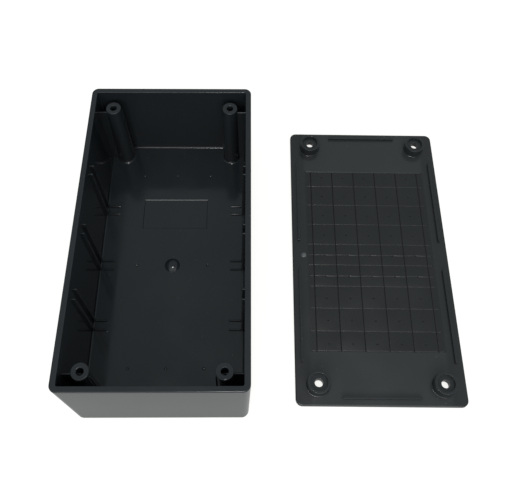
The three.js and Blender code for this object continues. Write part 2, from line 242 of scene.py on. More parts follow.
def effect(name, inputs, outputs):
    group = bpy.data.node_groups.new(name, "ShaderNodeTree")
    for label, value in inputs.items():
        socket = group.interface.new_socket(label, in_out="INPUT", socket_type="NodeSocketFloat")
        socket.default_value = value
    for label in outputs:
        group.interface.new_socket(label, in_out="OUTPUT", socket_type="NodeSocketFloat")
    entry = group.nodes.new("NodeGroupInput")
    leave = group.nodes.new("NodeGroupOutput")
    return group, entry, leave


def math_node(tree, operation, first, second=None):
    node = tree.nodes.new("ShaderNodeMath")
    node.operation = operation
    for index, value in enumerate((first, second)):
        if value is None:
            continue
        if isinstance(value, (int, float)):
            node.inputs[index].default_value = value
        else:
            tree.links.new(value, node.inputs[index])
    return node.outputs[0]


def remapped(tree, value, low, high, to_low=0.0, to_high=1.0):
    node = tree.nodes.new("ShaderNodeMapRange")
    node.inputs["From Min"].default_value = low
    node.inputs["From Max"].default_value = high
    node.inputs["To Min"].default_value = to_low
    node.inputs["To Max"].default_value = to_high
    tree.links.new(value, node.inputs["Value"])
    return node.outputs["Result"]


def place_on_object(tree):
    return tree.nodes.new("ShaderNodeTexCoord").outputs["Object"]


def noise(tree, place, scale, detail=2.0, roughness=0.5):
    node = tree.nodes.new("ShaderNodeTexNoise")
    node.inputs["Detail"].default_value = detail
    node.inputs["Roughness"].default_value = roughness
    tree.links.new(place, node.inputs["Vector"])
    if isinstance(scale, (int, float)):
        node.inputs["Scale"].default_value = scale
    else:
        tree.links.new(scale, node.inputs["Scale"])
    return node.outputs["Fac"]


print("node helpers ready")

# %% [markdown]
# ## Mould grain
# A steel mould is spark-eroded or polished, and the plastic copies its skin. Up close the faces
# have a very fine pebble with a slower swell under it from shrinkage. Two noises at different
# scales are added, and the material turns the result into a bump.

# %% Effect: mould grain
grain_group, grain_in, grain_out = effect(
    "mould_grain", {"Pebble Scale": 1800.0, "Swell Scale": 45.0, "Swell Share": 0.5},
    ["Height", "Gloss Change"])
where = place_on_object(grain_group)
pebble = noise(grain_group, where, grain_in.outputs["Pebble Scale"], detail=3.0, roughness=0.6)
swell = noise(grain_group, where, grain_in.outputs["Swell Scale"], detail=1.0)
swell_part = math_node(grain_group, "MULTIPLY", swell, grain_in.outputs["Swell Share"])
grain_group.links.new(
    math_node(grain_group, "ADD", pebble, swell_part), grain_out.inputs["Height"])
grain_group.links.new(
    remapped(grain_group, swell, *MIDDLE_BAND, -1.0, 1.0), grain_out.inputs["Gloss Change"])
print("mould_grain has", len(grain_group.nodes), "nodes")

# %% [markdown]
# ## Rubbed edges
# Handling polishes and greys the corners first. A Bevel node gives the normal the surface would
# have if its edges were rounder, and where that differs from the true normal there is an edge.
# A noise breaks the mask up, because wear is never even.

# %% Effect: rubbed edges
BEVEL_SAMPLES = 4
FLAT_AGREEMENT, EDGE_AGREEMENT = 0.995, 0.90

edge_group, edge_in, edge_out = effect(
    "rubbed_edges", {"Radius": 0.0006, "Patch Scale": 180.0}, ["Mask"])
rounder = edge_group.nodes.new("ShaderNodeBevel")
rounder.samples = BEVEL_SAMPLES
edge_group.links.new(edge_in.outputs["Radius"], rounder.inputs["Radius"])
true_normal = edge_group.nodes.new("ShaderNodeNewGeometry")
agreement = edge_group.nodes.new("ShaderNodeVectorMath")
agreement.operation = "DOT_PRODUCT"
edge_group.links.new(rounder.outputs["Normal"], agreement.inputs[0])
edge_group.links.new(true_normal.outputs["Normal"], agreement.inputs[1])
edge_amount = remapped(
    edge_group, agreement.outputs["Value"], FLAT_AGREEMENT, EDGE_AGREEMENT)
uneven = noise(
    edge_group, place_on_object(edge_group), edge_in.outputs["Patch Scale"], detail=4.0)
patches = remapped(edge_group, uneven, *MIDDLE_BAND)
edge_group.links.new(
    math_node(edge_group, "MULTIPLY", edge_amount, patches), edge_out.inputs["Mask"])
print("rubbed_edges has", len(edge_group.nodes), "nodes")

# %% [markdown]
# ## Settled dust
# A black box shows every speck. Dust settles on faces that look up and stays where a cloth does
# not reach. The mask is the upward part of the normal, times a patchy noise, and a second very
# fine noise keeps only its peaks as single specks.

# %% Effect: settled dust
LYING_BAND = (0.6, 1.0)
FILM_BAND = (0.4, 0.75)
SPECK_BAND = (0.76, 0.8)

dust_group, dust_in, dust_out = effect(
    "settled_dust", {"Film Scale": 22.0, "Speck Scale": 900.0}, ["Film", "Specks"])
upward = dust_group.nodes.new("ShaderNodeSeparateXYZ")
dust_normal = dust_group.nodes.new("ShaderNodeNewGeometry")
dust_group.links.new(dust_normal.outputs["Normal"], upward.inputs[0])
lying = remapped(dust_group, upward.outputs["Z"], *LYING_BAND)
dust_place = place_on_object(dust_group)
cloudy = noise(
    dust_group, dust_place, dust_in.outputs["Film Scale"], detail=6.0, roughness=0.6)
grainy = noise(dust_group, dust_place, dust_in.outputs["Speck Scale"], detail=1.0)
for label, pattern, kept_band in (("Film", cloudy, FILM_BAND), ("Specks", grainy, SPECK_BAND)):
    mask = math_node(dust_group, "MULTIPLY", lying, remapped(dust_group, pattern, *kept_band))
    dust_group.links.new(mask, dust_out.inputs[label])
print("settled_dust has", len(dust_group.nodes), "nodes")

# %% [markdown]
# ## Hairline scratches
# Sliding on a table leaves fine straight scratches. A noise stretched very long in one direction
# gives hairlines, and keeping only its thin middle band makes them sparse.

# %% Effect: hairline scratches
HAIR_STRETCH = (1.0, 0.03, 0.3)
NOISE_MIDDLE = 0.5
HAIR_WIDTH = 0.006
MARKED_SCALE = 30.0
MARKED_BAND = (0.5, 0.62)

scratch_group, scratch_in, scratch_out = effect(
    "hairline_scratches", {"Scale": 260.0, "Turn": 0.6}, ["Mask"])
turned_place = scratch_group.nodes.new("ShaderNodeVectorRotate")
turned_place.rotation_type = "Z_AXIS"
scratch_group.links.new(place_on_object(scratch_group), turned_place.inputs["Vector"])
scratch_group.links.new(scratch_in.outputs["Turn"], turned_place.inputs["Angle"])
stretched = scratch_group.nodes.new("ShaderNodeVectorMath")
stretched.operation = "MULTIPLY"
stretched.inputs[1].default_value = HAIR_STRETCH
scratch_group.links.new(turned_place.outputs[0], stretched.inputs[0])
lines = noise(scratch_group, stretched.outputs[0], scratch_in.outputs["Scale"])
band = math_node(
    scratch_group, "ABSOLUTE", math_node(scratch_group, "SUBTRACT", lines, NOISE_MIDDLE))
hairlines = remapped(scratch_group, band, HAIR_WIDTH, 0.0)
where_marked = remapped(
    scratch_group, noise(scratch_group, place_on_object(scratch_group), MARKED_SCALE),
    *MARKED_BAND)
scratch_group.links.new(
    math_node(scratch_group, "MULTIPLY", hairlines, where_marked), scratch_out.inputs["Mask"])
print("hairline_scratches has", len(scratch_group.nodes), "nodes")

# %% [markdown]
# ## Ruled tone and painted shade
# The lid's ruled panel was spark-eroded duller than the polished steel round it, so it returns
# less light. Its ruled columns and its pits get painted shade: the base colour goes towards black
# there, standing in for the shade that falls into these cuts. The lid's middle and turn come from
# the frame, so the pattern sits on the lid however the lid lies: places are turned back to the
# lid's own axes and measured in millimetres from its middle.

# %% Where the lid lies
lid_low, lid_high = [[value / MM for value in corner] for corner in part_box("lid")]
LID_MIDDLE = [(low + high) / 2 for low, high in zip(lid_low, lid_high)]
LID_TURN = math.radians(-0.69)
PITCH = 14.6
print("lid middle", [round(value, 2) for value in LID_MIDDLE[:2]], "mm")

# %% Effect: ruled tone and painted shade
PANEL_FADE_X = (41.5, 39.5)
PANEL_FADE_Y = (63.4, 63.0)
MARGIN_FADE = (39.5, 42.0)
LINE_FADE = (PITCH / 2 - 0.65, PITCH / 2 - 0.25)
PIT_FADE = (0.85, 0.5)

ruled_group, _, ruled_out = effect("ruled_tone", {}, ["Panel", "Shade", "Margin"])
from_middle = ruled_group.nodes.new("ShaderNodeVectorMath")
from_middle.operation = "SUBTRACT"
from_middle.inputs[1].default_value = (LID_MIDDLE[0] * MM, LID_MIDDLE[1] * MM, 0)
ruled_group.links.new(place_on_object(ruled_group), from_middle.inputs[0])
straight = ruled_group.nodes.new("ShaderNodeVectorRotate")
straight.rotation_type = "Z_AXIS"
straight.inputs["Angle"].default_value = -LID_TURN
ruled_group.links.new(from_middle.outputs[0], straight.inputs["Vector"])
lid_axes = ruled_group.nodes.new("ShaderNodeSeparateXYZ")
ruled_group.links.new(straight.outputs[0], lid_axes.inputs[0])
lid_x = math_node(ruled_group, "MULTIPLY", lid_axes.outputs["X"], 1 / MM)
lid_y = math_node(ruled_group, "MULTIPLY", lid_axes.outputs["Y"], 1 / MM)


def cell_offset(value):
    steps = math_node(
        ruled_group, "ROUND", math_node(ruled_group, "DIVIDE", value, PITCH))
    return math_node(
        ruled_group, "ABSOLUTE",
        math_node(ruled_group, "SUBTRACT", value, math_node(ruled_group, "MULTIPLY", steps, PITCH)))


from_centre_x = math_node(ruled_group, "ABSOLUTE", lid_x)
from_centre_y = math_node(ruled_group, "ABSOLUTE", lid_y)
on_panel = math_node(
    ruled_group, "MULTIPLY",
    remapped(ruled_group, from_centre_x, *PANEL_FADE_X),
    remapped(ruled_group, from_centre_y, *PANEL_FADE_Y))
across_cell, along_cell = cell_offset(lid_x), cell_offset(lid_y)
# Painted shade: darkest along each ruled column and in each cell's pit, where shade falls into the
# cuts.
line_shade = remapped(ruled_group, across_cell, *LINE_FADE)
from_pit = math_node(
    ruled_group, "SQRT",
    math_node(ruled_group, "ADD", math_node(ruled_group, "POWER", across_cell, 2.0),
              math_node(ruled_group, "POWER", along_cell, 2.0)))
pit_shade = remapped(ruled_group, from_pit, *PIT_FADE)
shade = math_node(ruled_group, "MAXIMUM", line_shade, pit_shade)
ruled_group.links.new(on_panel, ruled_out.inputs["Panel"])
ruled_group.links.new(
    math_node(ruled_group, "MULTIPLY", shade, on_panel), ruled_out.inputs["Shade"])
ruled_group.links.new(
    remapped(ruled_group, from_centre_x, *MARGIN_FADE), ruled_out.inputs["Margin"])
print("ruled_tone has", len(ruled_group.nodes), "nodes")

# %% [markdown]
# ## Black plastic
# The box is injection-moulded in black, a semi-gloss plastic such as ABS. Its colour is almost
# nothing, so what the eye reads is the reflection: near white on walls seen edge-on, dark on
# faces seen square-on. The base colour is mixed towards grey by wear and dust, and roughness
# gathers the gloss changes from every effect. On the lid, painted shade also takes the base
# colour towards black in the ruled columns and pits.

# %% Material: black plastic
PLASTIC_IOR = 1.48
PLASTIC_BUMP = 0.35
TONE_SCALE = 14.0
TONE_BAND = (0.3, 0.7)
WORN_GREY, WORN_SHARE = (0.075, 0.08, 0.084, 1), 0.35
FILM_GREY = (0.16, 0.155, 0.145, 1)
SPECK_GREY, SPECK_SHARE = (0.3, 0.29, 0.27, 1), 0.18
SWELL_DULLS, FILM_DULLS, WEAR_DULLS = 0.025, 0.1, -0.06
NO_COLOUR = (0.0, 0.0, 0.0, 1)
# Near black used as painted shade in the lid's ruled columns and pits.
CUT_PAINTED_SHADE = (0.002, 0.0025, 0.003, 1)
PANEL_DARKENS, MARGIN_DARKENS = 0.55, 0.3
PANEL_DULLS, LINE_DULLS = 0.1, 0.3


def started(name):
    material = bpy.data.materials.new(name)
    material.use_nodes = True
    tree = material.node_tree
    return material, tree, tree.nodes["Principled BSDF"]


def add_bump(tree, shader, height, strength, distance):
    bump = tree.nodes.new("ShaderNodeBump")
    bump.inputs["Strength"].default_value = strength
    bump.inputs["Distance"].default_value = distance
    tree.links.new(height, bump.inputs["Height"])
    tree.links.new(bump.outputs["Normal"], shader.inputs["Normal"])


def add_effect(tree, group, **values):
    node = tree.nodes.new("ShaderNodeGroup")
    node.node_tree = group
    for label, value in values.items():
        node.inputs[label.replace("_", " ")].default_value = value
    return node


def mixed(tree, share, first, second):
    node = tree.nodes.new("ShaderNodeMix")
    node.data_type = "RGBA"
    for socket, value in ((node.inputs[6], first), (node.inputs[7], second)):
        if isinstance(value, tuple):
            socket.default_value = value
        else:
            tree.links.new(value, socket)
    tree.links.new(share, node.inputs[0])
    return node.outputs[2]


def summed(tree, start, *terms):
    total = start
    for value, weight in terms:
        total = math_node(tree, "ADD", math_node(tree, "MULTIPLY", value, weight), total)
    return total


def add_ruled_tone(tree, base, roughness):
    ruled = add_effect(tree, ruled_group)
    darkened = summed(
        tree, 0.0, (ruled.outputs["Panel"], PANEL_DARKENS),
        (ruled.outputs["Margin"], MARGIN_DARKENS))
    base = mixed(tree, darkened, base, NO_COLOUR)
    # Painted shade: the base colour goes towards near black in the ruled columns and pits.
    base = mixed(tree, ruled.outputs["Shade"], base, CUT_PAINTED_SHADE)
    return base, summed(
        tree, roughness, (ruled.outputs["Panel"], PANEL_DULLS),
        (ruled.outputs["Shade"], LINE_DULLS))


def plastic(name, colour, sheen_colour, gloss, grain_depth, pebble_scale, film_amount,
            scratch_amount=0.12, ruled=False):
    material, tree, shader = started(name)
    shader.inputs["IOR"].default_value = PLASTIC_IOR
    grain = add_effect(tree, grain_group, Pebble_Scale=pebble_scale, Swell_Scale=45.0)
    edges = add_effect(tree, edge_group, Radius=0.0005, Patch_Scale=160.0)
    dust = add_effect(tree, dust_group, Film_Scale=22.0, Speck_Scale=700.0)
    scratches = add_effect(tree, scratch_group, Scale=240.0, Turn=0.6)
    tone = remapped(
        tree, noise(tree, place_on_object(tree), TONE_SCALE, detail=3.0), *TONE_BAND)
    base = mixed(tree, tone, colour, sheen_colour)
    worn = math_node(tree, "MULTIPLY", edges.outputs["Mask"], WORN_SHARE)
    base = mixed(tree, worn, base, WORN_GREY)
    filmed = math_node(tree, "MULTIPLY", dust.outputs["Film"], film_amount)
    base = mixed(tree, filmed, base, FILM_GREY)
    specked = math_node(tree, "MULTIPLY", dust.outputs["Specks"], SPECK_SHARE)
    base = mixed(tree, specked, base, SPECK_GREY)
    roughness = summed(
        tree, gloss, (grain.outputs["Gloss Change"], SWELL_DULLS),
        (dust.outputs["Film"], FILM_DULLS), (scratches.outputs["Mask"], scratch_amount),
        (edges.outputs["Mask"], WEAR_DULLS))
    if ruled:
        base, roughness = add_ruled_tone(tree, base, roughness)
    tree.links.new(base, shader.inputs["Base Color"])
    tree.links.new(roughness, shader.inputs["Roughness"])
    add_bump(tree, shader, grain.outputs["Height"], PLASTIC_BUMP, grain_depth)
    print(name, "has", len(tree.nodes), "nodes")
    return material


body_plastic = plastic(
    "black_plastic", (0.015, 0.0185, 0.021, 1), (0.018, 0.0215, 0.024, 1), gloss=0.1,
    grain_depth=0.00001, pebble_scale=1800.0, film_amount=0.02)
lid_plastic = plastic(
    "black_lid_plastic", (0.033, 0.036, 0.0365, 1), (0.037, 0.04, 0.0405, 1), gloss=0.15,
    grain_depth=0.00002, pebble_scale=1500.0, film_amount=0.025, scratch_amount=0.04, ruled=True)
# Cups and ribs: a darker copy of the lid plastic. This is partly their own tone and partly painted
# shade for their shaded walls and the dark lines along the ribs.
cup_plastic_with_painted_shade = plastic(
    "black_cup_plastic_with_painted_shade", (0.019, 0.022, 0.023, 1), (0.023, 0.0265, 0.0275, 1), gloss=0.13,
    grain_depth=0.00001, pebble_scale=1500.0, film_amount=0.01, scratch_amount=0.04)
torn_plastic = plastic(
    "torn_gate_plastic", (0.09, 0.1, 0.105, 1), (0.14, 0.15, 0.155, 1), gloss=0.35,
    grain_depth=0.0002, pebble_scale=900.0, film_amount=0.05)

# %% [markdown]
# ## Zinc-plated steel
# The screws are case-hardened steel with a bright zinc plate. Zinc is bluish, a little cloudy
# from the bath, and rubbed brighter on the thread crests. Tumbling in a barrel with the other
# screws leaves short scratches.

# %% Material: zinc-plated steel
CLOUD_SCALE = 260.0
ZINC_BLUE, ZINC_CLOUD = (0.5, 0.52, 0.56, 1), (0.62, 0.62, 0.6, 1)
ZINC_RUBBED = (0.78, 0.79, 0.8, 1)
ZINC_ROUGHNESS = 0.3
SWELL_CLOUDS, SCRATCH_CLOUDS, RUBBING_CLEARS = 0.06, 0.2, -0.1
ZINC_BUMP, ZINC_GRAIN_DEPTH = 0.3, 0.00002


def zinc_plate():
    material, tree, shader = started("zinc_plate")
    shader.inputs["Metallic"].default_value = 1.0
    grain = add_effect(tree, grain_group, Pebble_Scale=2600.0, Swell_Scale=320.0)
    edges = add_effect(tree, edge_group, Radius=0.0003, Patch_Scale=600.0)
    scratches = add_effect(tree, scratch_group, Scale=1500.0, Turn=1.1)
    cloud = remapped(
        tree, noise(tree, place_on_object(tree), CLOUD_SCALE, detail=4.0), *MIDDLE_BAND)
    base = mixed(tree, cloud, ZINC_BLUE, ZINC_CLOUD)
    base = mixed(tree, edges.outputs["Mask"], base, ZINC_RUBBED)
    tree.links.new(base, shader.inputs["Base Color"])
    roughness = summed(
        tree, ZINC_ROUGHNESS, (grain.outputs["Gloss Change"], SWELL_CLOUDS),
        (scratches.outputs["Mask"], SCRATCH_CLOUDS), (edges.outputs["Mask"], RUBBING_CLEARS))
    tree.links.new(roughness, shader.inputs["Roughness"])
    add_bump(tree, shader, grain.outputs["Height"], ZINC_BUMP, ZINC_GRAIN_DEPTH)
    print("zinc_plate has", len(tree.nodes), "nodes")
    return material


zinc = zinc_plate()

# %% [markdown]
# # The box body
# The body is one moulding, 3.3 mm thick, whose walls lean in slightly towards the floor so that
# it slides out of the mould. It is built from the outside in: an outer block with rounded
# corners and foot, an inner block with its own smaller radii, both open at the top, and a
# bridge between their two open rims. The rim's two edges are then softened.

# %% Sizes of the body
box_low, box_high = [[value / MM for value in corner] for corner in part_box("box_body")]
HALF_WIDTH = (box_high[0] - box_low[0]) / 2
HALF_LENGTH = (box_high[1] - box_low[1]) / 2
RIM = box_high[2]
WALL = 3.3
FLOOR = 3.0
OUTER_LEAN = 1.3
INNER_LEAN = 1.0
INNER_HALF_WIDTH = HALF_WIDTH - WALL
INNER_HALF_LENGTH = HALF_LENGTH - WALL
CORNER_RADIUS, FOOT_RADIUS, INNER_RADIUS = 4.0, 1.8, 1.0
OUTER_RIM_RADIUS, INNER_RIM_RADIUS = 0.6, 0.35
CLEAR_OF_WALL = 1
SUNK = FLOOR - 0.6
print("body", HALF_WIDTH * 2, "x", HALF_LENGTH * 2, "x", RIM, "mm")


# %% Leaning block with rounded corners
def lean_in(shape, height, amount):
    for side in (-1, 1):
        across = [v for v in shape.verts if abs(v.co.z - height) < NEAR and v.co.x * side > 0]
        bmesh.ops.translate(shape, vec=(-side * amount, 0, 0), verts=across)
        along = [v for v in shape.verts if abs(v.co.z - height) < NEAR and v.co.y * side > 0]
        bmesh.ops.translate(shape, vec=(0, -side * amount, 0), verts=along)


def open_top(shape, height):
    top = [f for f in shape.faces if all(abs(v.co.z - height) < NEAR for v in f.verts)]
    bmesh.ops.delete(shape, geom=top, context="FACES")


def outer_skin():
    shape = slab(-HALF_WIDTH, HALF_WIDTH, -HALF_LENGTH, HALF_LENGTH, 0, RIM)
    lean_in(shape, 0, OUTER_LEAN)
    soften(shape, upright_edges(shape), CORNER_RADIUS, 10)
    soften(shape, edges_at(shape, 0), FOOT_RADIUS, 6)
    open_top(shape, RIM)
    return shape


def inner_skin():
    shape = slab(
        -INNER_HALF_WIDTH, INNER_HALF_WIDTH, -INNER_HALF_LENGTH, INNER_HALF_LENGTH, FLOOR, RIM)
    lean_in(shape, FLOOR, INNER_LEAN)
    soften(shape, upright_edges(shape) + edges_at(shape, FLOOR), INNER_RADIUS, 10)
    open_top(shape, RIM)
    bmesh.ops.reverse_faces(shape, faces=shape.faces)
    return shape


# %% Bridge the rim and finish the shell
shell = joined(outer_skin(), inner_skin())
open_edges = [edge for edge in shell.edges if edge.is_boundary]
bmesh.ops.bridge_loops(shell, edges=open_edges)
rim_edges = edges_at(shell, RIM)


def outside(vertex):
    return (abs(vertex.co.x) > INNER_HALF_WIDTH + CLEAR_OF_WALL
            or abs(vertex.co.y) > INNER_HALF_LENGTH + CLEAR_OF_WALL)


outer_rim = [e for e in rim_edges if all(outside(v) for v in e.verts)]
inner_rim = [e for e in rim_edges if not any(outside(v) for v in e.verts)]
soften(shell, outer_rim, OUTER_RIM_RADIUS, 4)
soften(shell, [e for e in inner_rim if e.is_valid], INNER_RIM_RADIUS, 3)
bmesh.ops.recalc_face_normals(shell, faces=shell.faces)
box_shell = as_object(shell, "box_shell")
print("shell skin has", len(box_shell.data.polygons), "faces")

# %% [markdown]
# ## Label field and drilling pits
# A shallow rectangle is sunk into the floor where a label would go, and eight small cone-shaped
# pits show where holes may be drilled. On the real box raised blocks and points in the mould
# leave them, so their walls slope. Cutters of those shapes are taken away from the shell, each
# cut is cleaned of slivers, and the shell then stands in for the frame's body.

# %% Cut the label field and the pits
CLEAN_GAP = 1e-6


def tidied(mesh):
    shape = bmesh.new()
    shape.from_mesh(mesh)
    bmesh.ops.remove_doubles(shape, verts=shape.verts, dist=CLEAN_GAP)
    bmesh.ops.dissolve_degenerate(shape, edges=shape.edges, dist=CLEAN_GAP)
    shape.to_mesh(mesh)
    shape.free()
    return mesh


def cut_away(piece, cutter):
    cutting = piece.modifiers.new("cut", "BOOLEAN")
    cutting.operation = "DIFFERENCE"
    cutting.solver = "EXACT"
    cutting.object = cutter
    evaluated = piece.evaluated_get(bpy.context.evaluated_depsgraph_get())
    cut_mesh = bpy.data.meshes.new_from_object(evaluated)
    piece.modifiers.clear()
    piece.data = tidied(cut_mesh)
    bpy.data.objects.remove(cutter)
    return piece


FIELD_DEPTH = 0.35
FIELD_SLOPE = 1.1
FIELD_HALF_WIDTH = 21.15
FIELD_NEAR, FIELD_FAR = 26.5, 48.2
field = slab(
    -FIELD_HALF_WIDTH, FIELD_HALF_WIDTH, FIELD_NEAR, FIELD_FAR, FLOOR - FIELD_DEPTH,
    FLOOR + FIELD_DEPTH)
for vertex in field.verts:
    widen = 1 if vertex.co.z > FLOOR else -1
    step = FIELD_DEPTH * FIELD_SLOPE * widen
    vertex.co.x += step if vertex.co.x > 0 else -step
    vertex.co.y += step if vertex.co.y > (FIELD_NEAR + FIELD_FAR) / 2 else -step
cut_away(box_shell, as_object(field, "field_cutter"))


PIT_RISE = 0.6
PIT_STEPS = 16
MARK_DIAMETER, MARK_DEPTH = 1.9, 0.85
MARK_COLUMNS, MARK_ROWS = (-22.4, 0, 22.4), (-66.3, 0, 66.3)


def pit_cutter(diameter, depth, face, x, y):
    open_radius = (diameter / 2) * (1 + PIT_RISE / depth)
    mouth = face + PIT_RISE
    cone = turned([(0, face - depth), (open_radius, mouth), (0, mouth)], steps=PIT_STEPS)
    return moved(cone, x, y)


mark_places = [(x, y) for x in MARK_COLUMNS for y in MARK_ROWS if (x, y) != (0, 0)]
marks = joined(*[pit_cutter(MARK_DIAMETER, MARK_DEPTH, FLOOR, x, y) for x, y in mark_places])
cut_away(box_shell, as_object(marks, "mark_cutter"))
finished(box_shell, "box", body_plastic)
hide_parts("box_body")

# %% [markdown]
# ## Screw posts
# Four round posts stand near the corners and stop 5 mm below the rim, so that the lid's cups can
# drop over them. Each is a turned outline: the pilot hole down the middle, its softened mouth,
# a rounded shoulder, and a fillet where the post meets the floor.

# %% Posts
POST_X = HALF_WIDTH - 13.35
POST_Y = HALF_LENGTH - 11.9
POST_TOP = RIM - 4.9
POST_RADIUS = 4.7
POST_SPREAD = 0.5
POST_SKIRT = 1.4
PILOT_RADIUS, PILOT_DEPTH = 2.0, 20
MOUTH_RADIUS, SHOULDER_RADIUS, POST_FILLET = 0.35, 0.4, 1.2
SKIN = 0.02
CORNERS = [(-1, -1), (1, -1), (-1, 1), (1, 1)]


def post():
    foot = POST_RADIUS + POST_SPREAD
    skirt = foot + POST_SKIRT
    bottom = POST_TOP - PILOT_DEPTH
    return turned(
        [(0, bottom), (PILOT_RADIUS, bottom), (PILOT_RADIUS, POST_TOP), (POST_RADIUS, POST_TOP),
         (foot, FLOOR + SKIN), (skirt, FLOOR + SKIN), (skirt, SUNK), (0, SUNK)],
        {2: MOUTH_RADIUS, 3: SHOULDER_RADIUS, 4: POST_FILLET})


posts = joined(*[moved(post(), x * POST_X, y * POST_Y) for x, y in CORNERS])
finished(as_object(posts, "screw_posts"), "box", body_plastic)

# %% [markdown]
# ## Webs and fins
# A thin web ties each post to its side wall, and a thin fin stiffens the post on its inner side.
# Both are flat plates cut from a side outline: a few corner points make one face, which is
# pushed out to its thickness and has its edges chamfered flat, as the mould's cut slots are.

# %% Upright plates
PLATE_TOP = RIM - 9
BURIED = INNER_HALF_WIDTH + 1
WEB_THICKNESS, WEB_CHAMFER = 1.2, 0.4
FIN_THICKNESS, FIN_CHAMFER = 1.0, 0.35
FIN_FOOT, FIN_HEAD = POST_RADIUS + 1.6, POST_RADIUS + 0.5
FIN_TURN = math.radians(20)


def upright_plate(points, thickness, chamfer):
    shape = bmesh.new()
    corners = [shape.verts.new((x, -thickness / 2, z)) for x, z in points]
    face = shape.faces.new(corners)
    pushed = bmesh.ops.extrude_face_region(shape, geom=[face])
    new_corners = [item for item in pushed["geom"] if isinstance(item, bmesh.types.BMVert)]
    bmesh.ops.translate(shape, vec=(0, thickness, 0), verts=new_corners)
    bmesh.ops.recalc_face_normals(shape, faces=shape.faces)
    soften(shape, shape.edges[:], chamfer, 1)
    return shape


def post_web(side_x, side_y):
    shape = upright_plate(
        [(POST_X, SUNK), (BURIED, SUNK), (BURIED, PLATE_TOP), (POST_X, PLATE_TOP)],
        WEB_THICKNESS, WEB_CHAMFER)
    turn = 0 if side_x > 0 else math.pi
    return moved(shape, 0, side_y * POST_Y, 0, turn)


def post_fin(side_x, side_y):
    shape = upright_plate(
        [(0, SUNK), (FIN_FOOT, SUNK), (FIN_HEAD, PLATE_TOP), (0, PLATE_TOP)],
        FIN_THICKNESS, FIN_CHAMFER)
    inward = math.pi if side_x > 0 else 0
    turn = inward - side_x * side_y * FIN_TURN
    return moved(shape, side_x * POST_X, side_y * POST_Y, 0, turn)


webs = joined(*[post_web(x, y) for x, y in CORNERS], *[post_fin(x, y) for x, y in CORNERS])
finished(as_object(webs, "post_webs_and_fins"), "box", body_plastic)

# %% [markdown]
# ## Card guides
# Three pairs of upright ribs on each side wall would hold circuit cards on edge. Each rib stops
# 9 mm below the rim and runs on as a low foot across the floor. One outline draws rib and foot
# together, and the pairs repeat along the wall.

# %% Guides
PAIR_PITCH, PAIR_HALF_GAP = 39.8, 2.9
GUIDE_ROWS = [
    (pair - 1) * PAIR_PITCH + side * PAIR_HALF_GAP for pair in range(3) for side in (-1, 1)]
GUIDE_THICKNESS, GUIDE_CHAMFER = 1.2, 0.38
GUIDE_STANDS_OUT = 1.7
GUIDE_FOOT_HEIGHT, GUIDE_FOOT_LENGTH = 1.0, 9.0


def inner_face_at(height):
    return INNER_HALF_WIDTH - INNER_LEAN * (1 - (height - FLOOR) / (RIM - FLOOR))


def guide(side_x, y):
    foot_top = FLOOR + GUIDE_FOOT_HEIGHT
    foot_end = inner_face_at(FLOOR) - GUIDE_FOOT_LENGTH
    shape = upright_plate(
        [(BURIED, SUNK), (foot_end, SUNK), (foot_end, foot_top),
         (inner_face_at(foot_top) - GUIDE_STANDS_OUT, foot_top),
         (inner_face_at(PLATE_TOP) - GUIDE_STANDS_OUT, PLATE_TOP), (BURIED, PLATE_TOP)],
        GUIDE_THICKNESS, GUIDE_CHAMFER)
    return moved(shape, 0, y, 0, 0 if side_x > 0 else math.pi)


guides = joined(*[guide(side, y) for side in (-1, 1) for y in GUIDE_ROWS])
finished(as_object(guides, "card_guides"), "box", body_plastic)

# %% [markdown]
# ## Gate dome
# The dome left by the mould's gate stands in the middle of the floor. It is polished by the
# mould, so it carries the clearest highlight inside the box.

# %% Dome
GATE_RADIUS, GATE_HEIGHT = 4.8, 1.5
gate = moved(dome(GATE_RADIUS, GATE_HEIGHT), 0, 0, FLOOR)
finished(as_object(gate, "gate_dome"), "box", body_plastic)

# %% [markdown]
# # The lid
# The lid lies inside-up, so its flat outer face is on the table. It is made round its own middle
# and carried to its place at the end of each piece, with the same small turn as the frame's lid.

# %% Carry a shape to the lid
PLATE = 3.0


def on_lid(shape):
    return moved(shape, LID_MIDDLE[0], LID_MIDDLE[1], 0, LID_TURN)


print("the lid is turned", round(math.degrees(LID_TURN), 2), "degrees")

# %% [markdown]
# ## Lid plate with its ruled panel
# The plate is a slab with rounded corners. The inside has a panel sunk a hair's breadth, and the
# panel is ruled into cells so that a user can find a drilling place. The lines are V cuts, as a
# pointed engraving tool would leave on the part, and a small pit marks the middle of each cell.
# Panel, lines, pits and the four round holes under the cups are cut one after the other.

# %% Plate and holes
TABLE_EDGE_RADIUS, LID_EDGE_RADIUS = 0.6, 0.7


def plate():
    shape = slab(-HALF_WIDTH, HALF_WIDTH, -HALF_LENGTH, HALF_LENGTH, 0, PLATE)
    soften(shape, upright_edges(shape), CORNER_RADIUS, 10)
    soften(shape, edges_at(shape, 0), TABLE_EDGE_RADIUS, 3)
    soften(shape, edges_at(shape, PLATE), LID_EDGE_RADIUS, 4)
    return shape


ROW_SHIFT = 0.35
PANEL_X = HALF_WIDTH - 9.5
PANEL_Y = HALF_LENGTH - 31.85
PANEL_FACE = PLATE - 0.15
COLUMN_LINES = [side * (0.5 + n) * PITCH for n in range(3) for side in (-1, 1)]
ROW_LINES = [side * (0.5 + n) * PITCH + ROW_SHIFT for n in range(4) for side in (-1, 1)]
END_LINE_INSET = 0.2
ROW_LINES += [0, -PITCH, END_LINE_INSET - PANEL_Y, PANEL_Y - END_LINE_INSET]
GROOVE_DEPTH, GROOVE_HALF_WIDTH = 0.35, 0.45
CUT_RISE = 0.75
GROOVE_FROM_SIDE, GROOVE_FROM_END = 1, 0.1
CELL_PIT_DIAMETER, CELL_PIT_DEPTH = 1.2, 0.6
HOLE_RADIUS, HOLE_LOW, HOLE_HIGH = 4.85, -1, 5


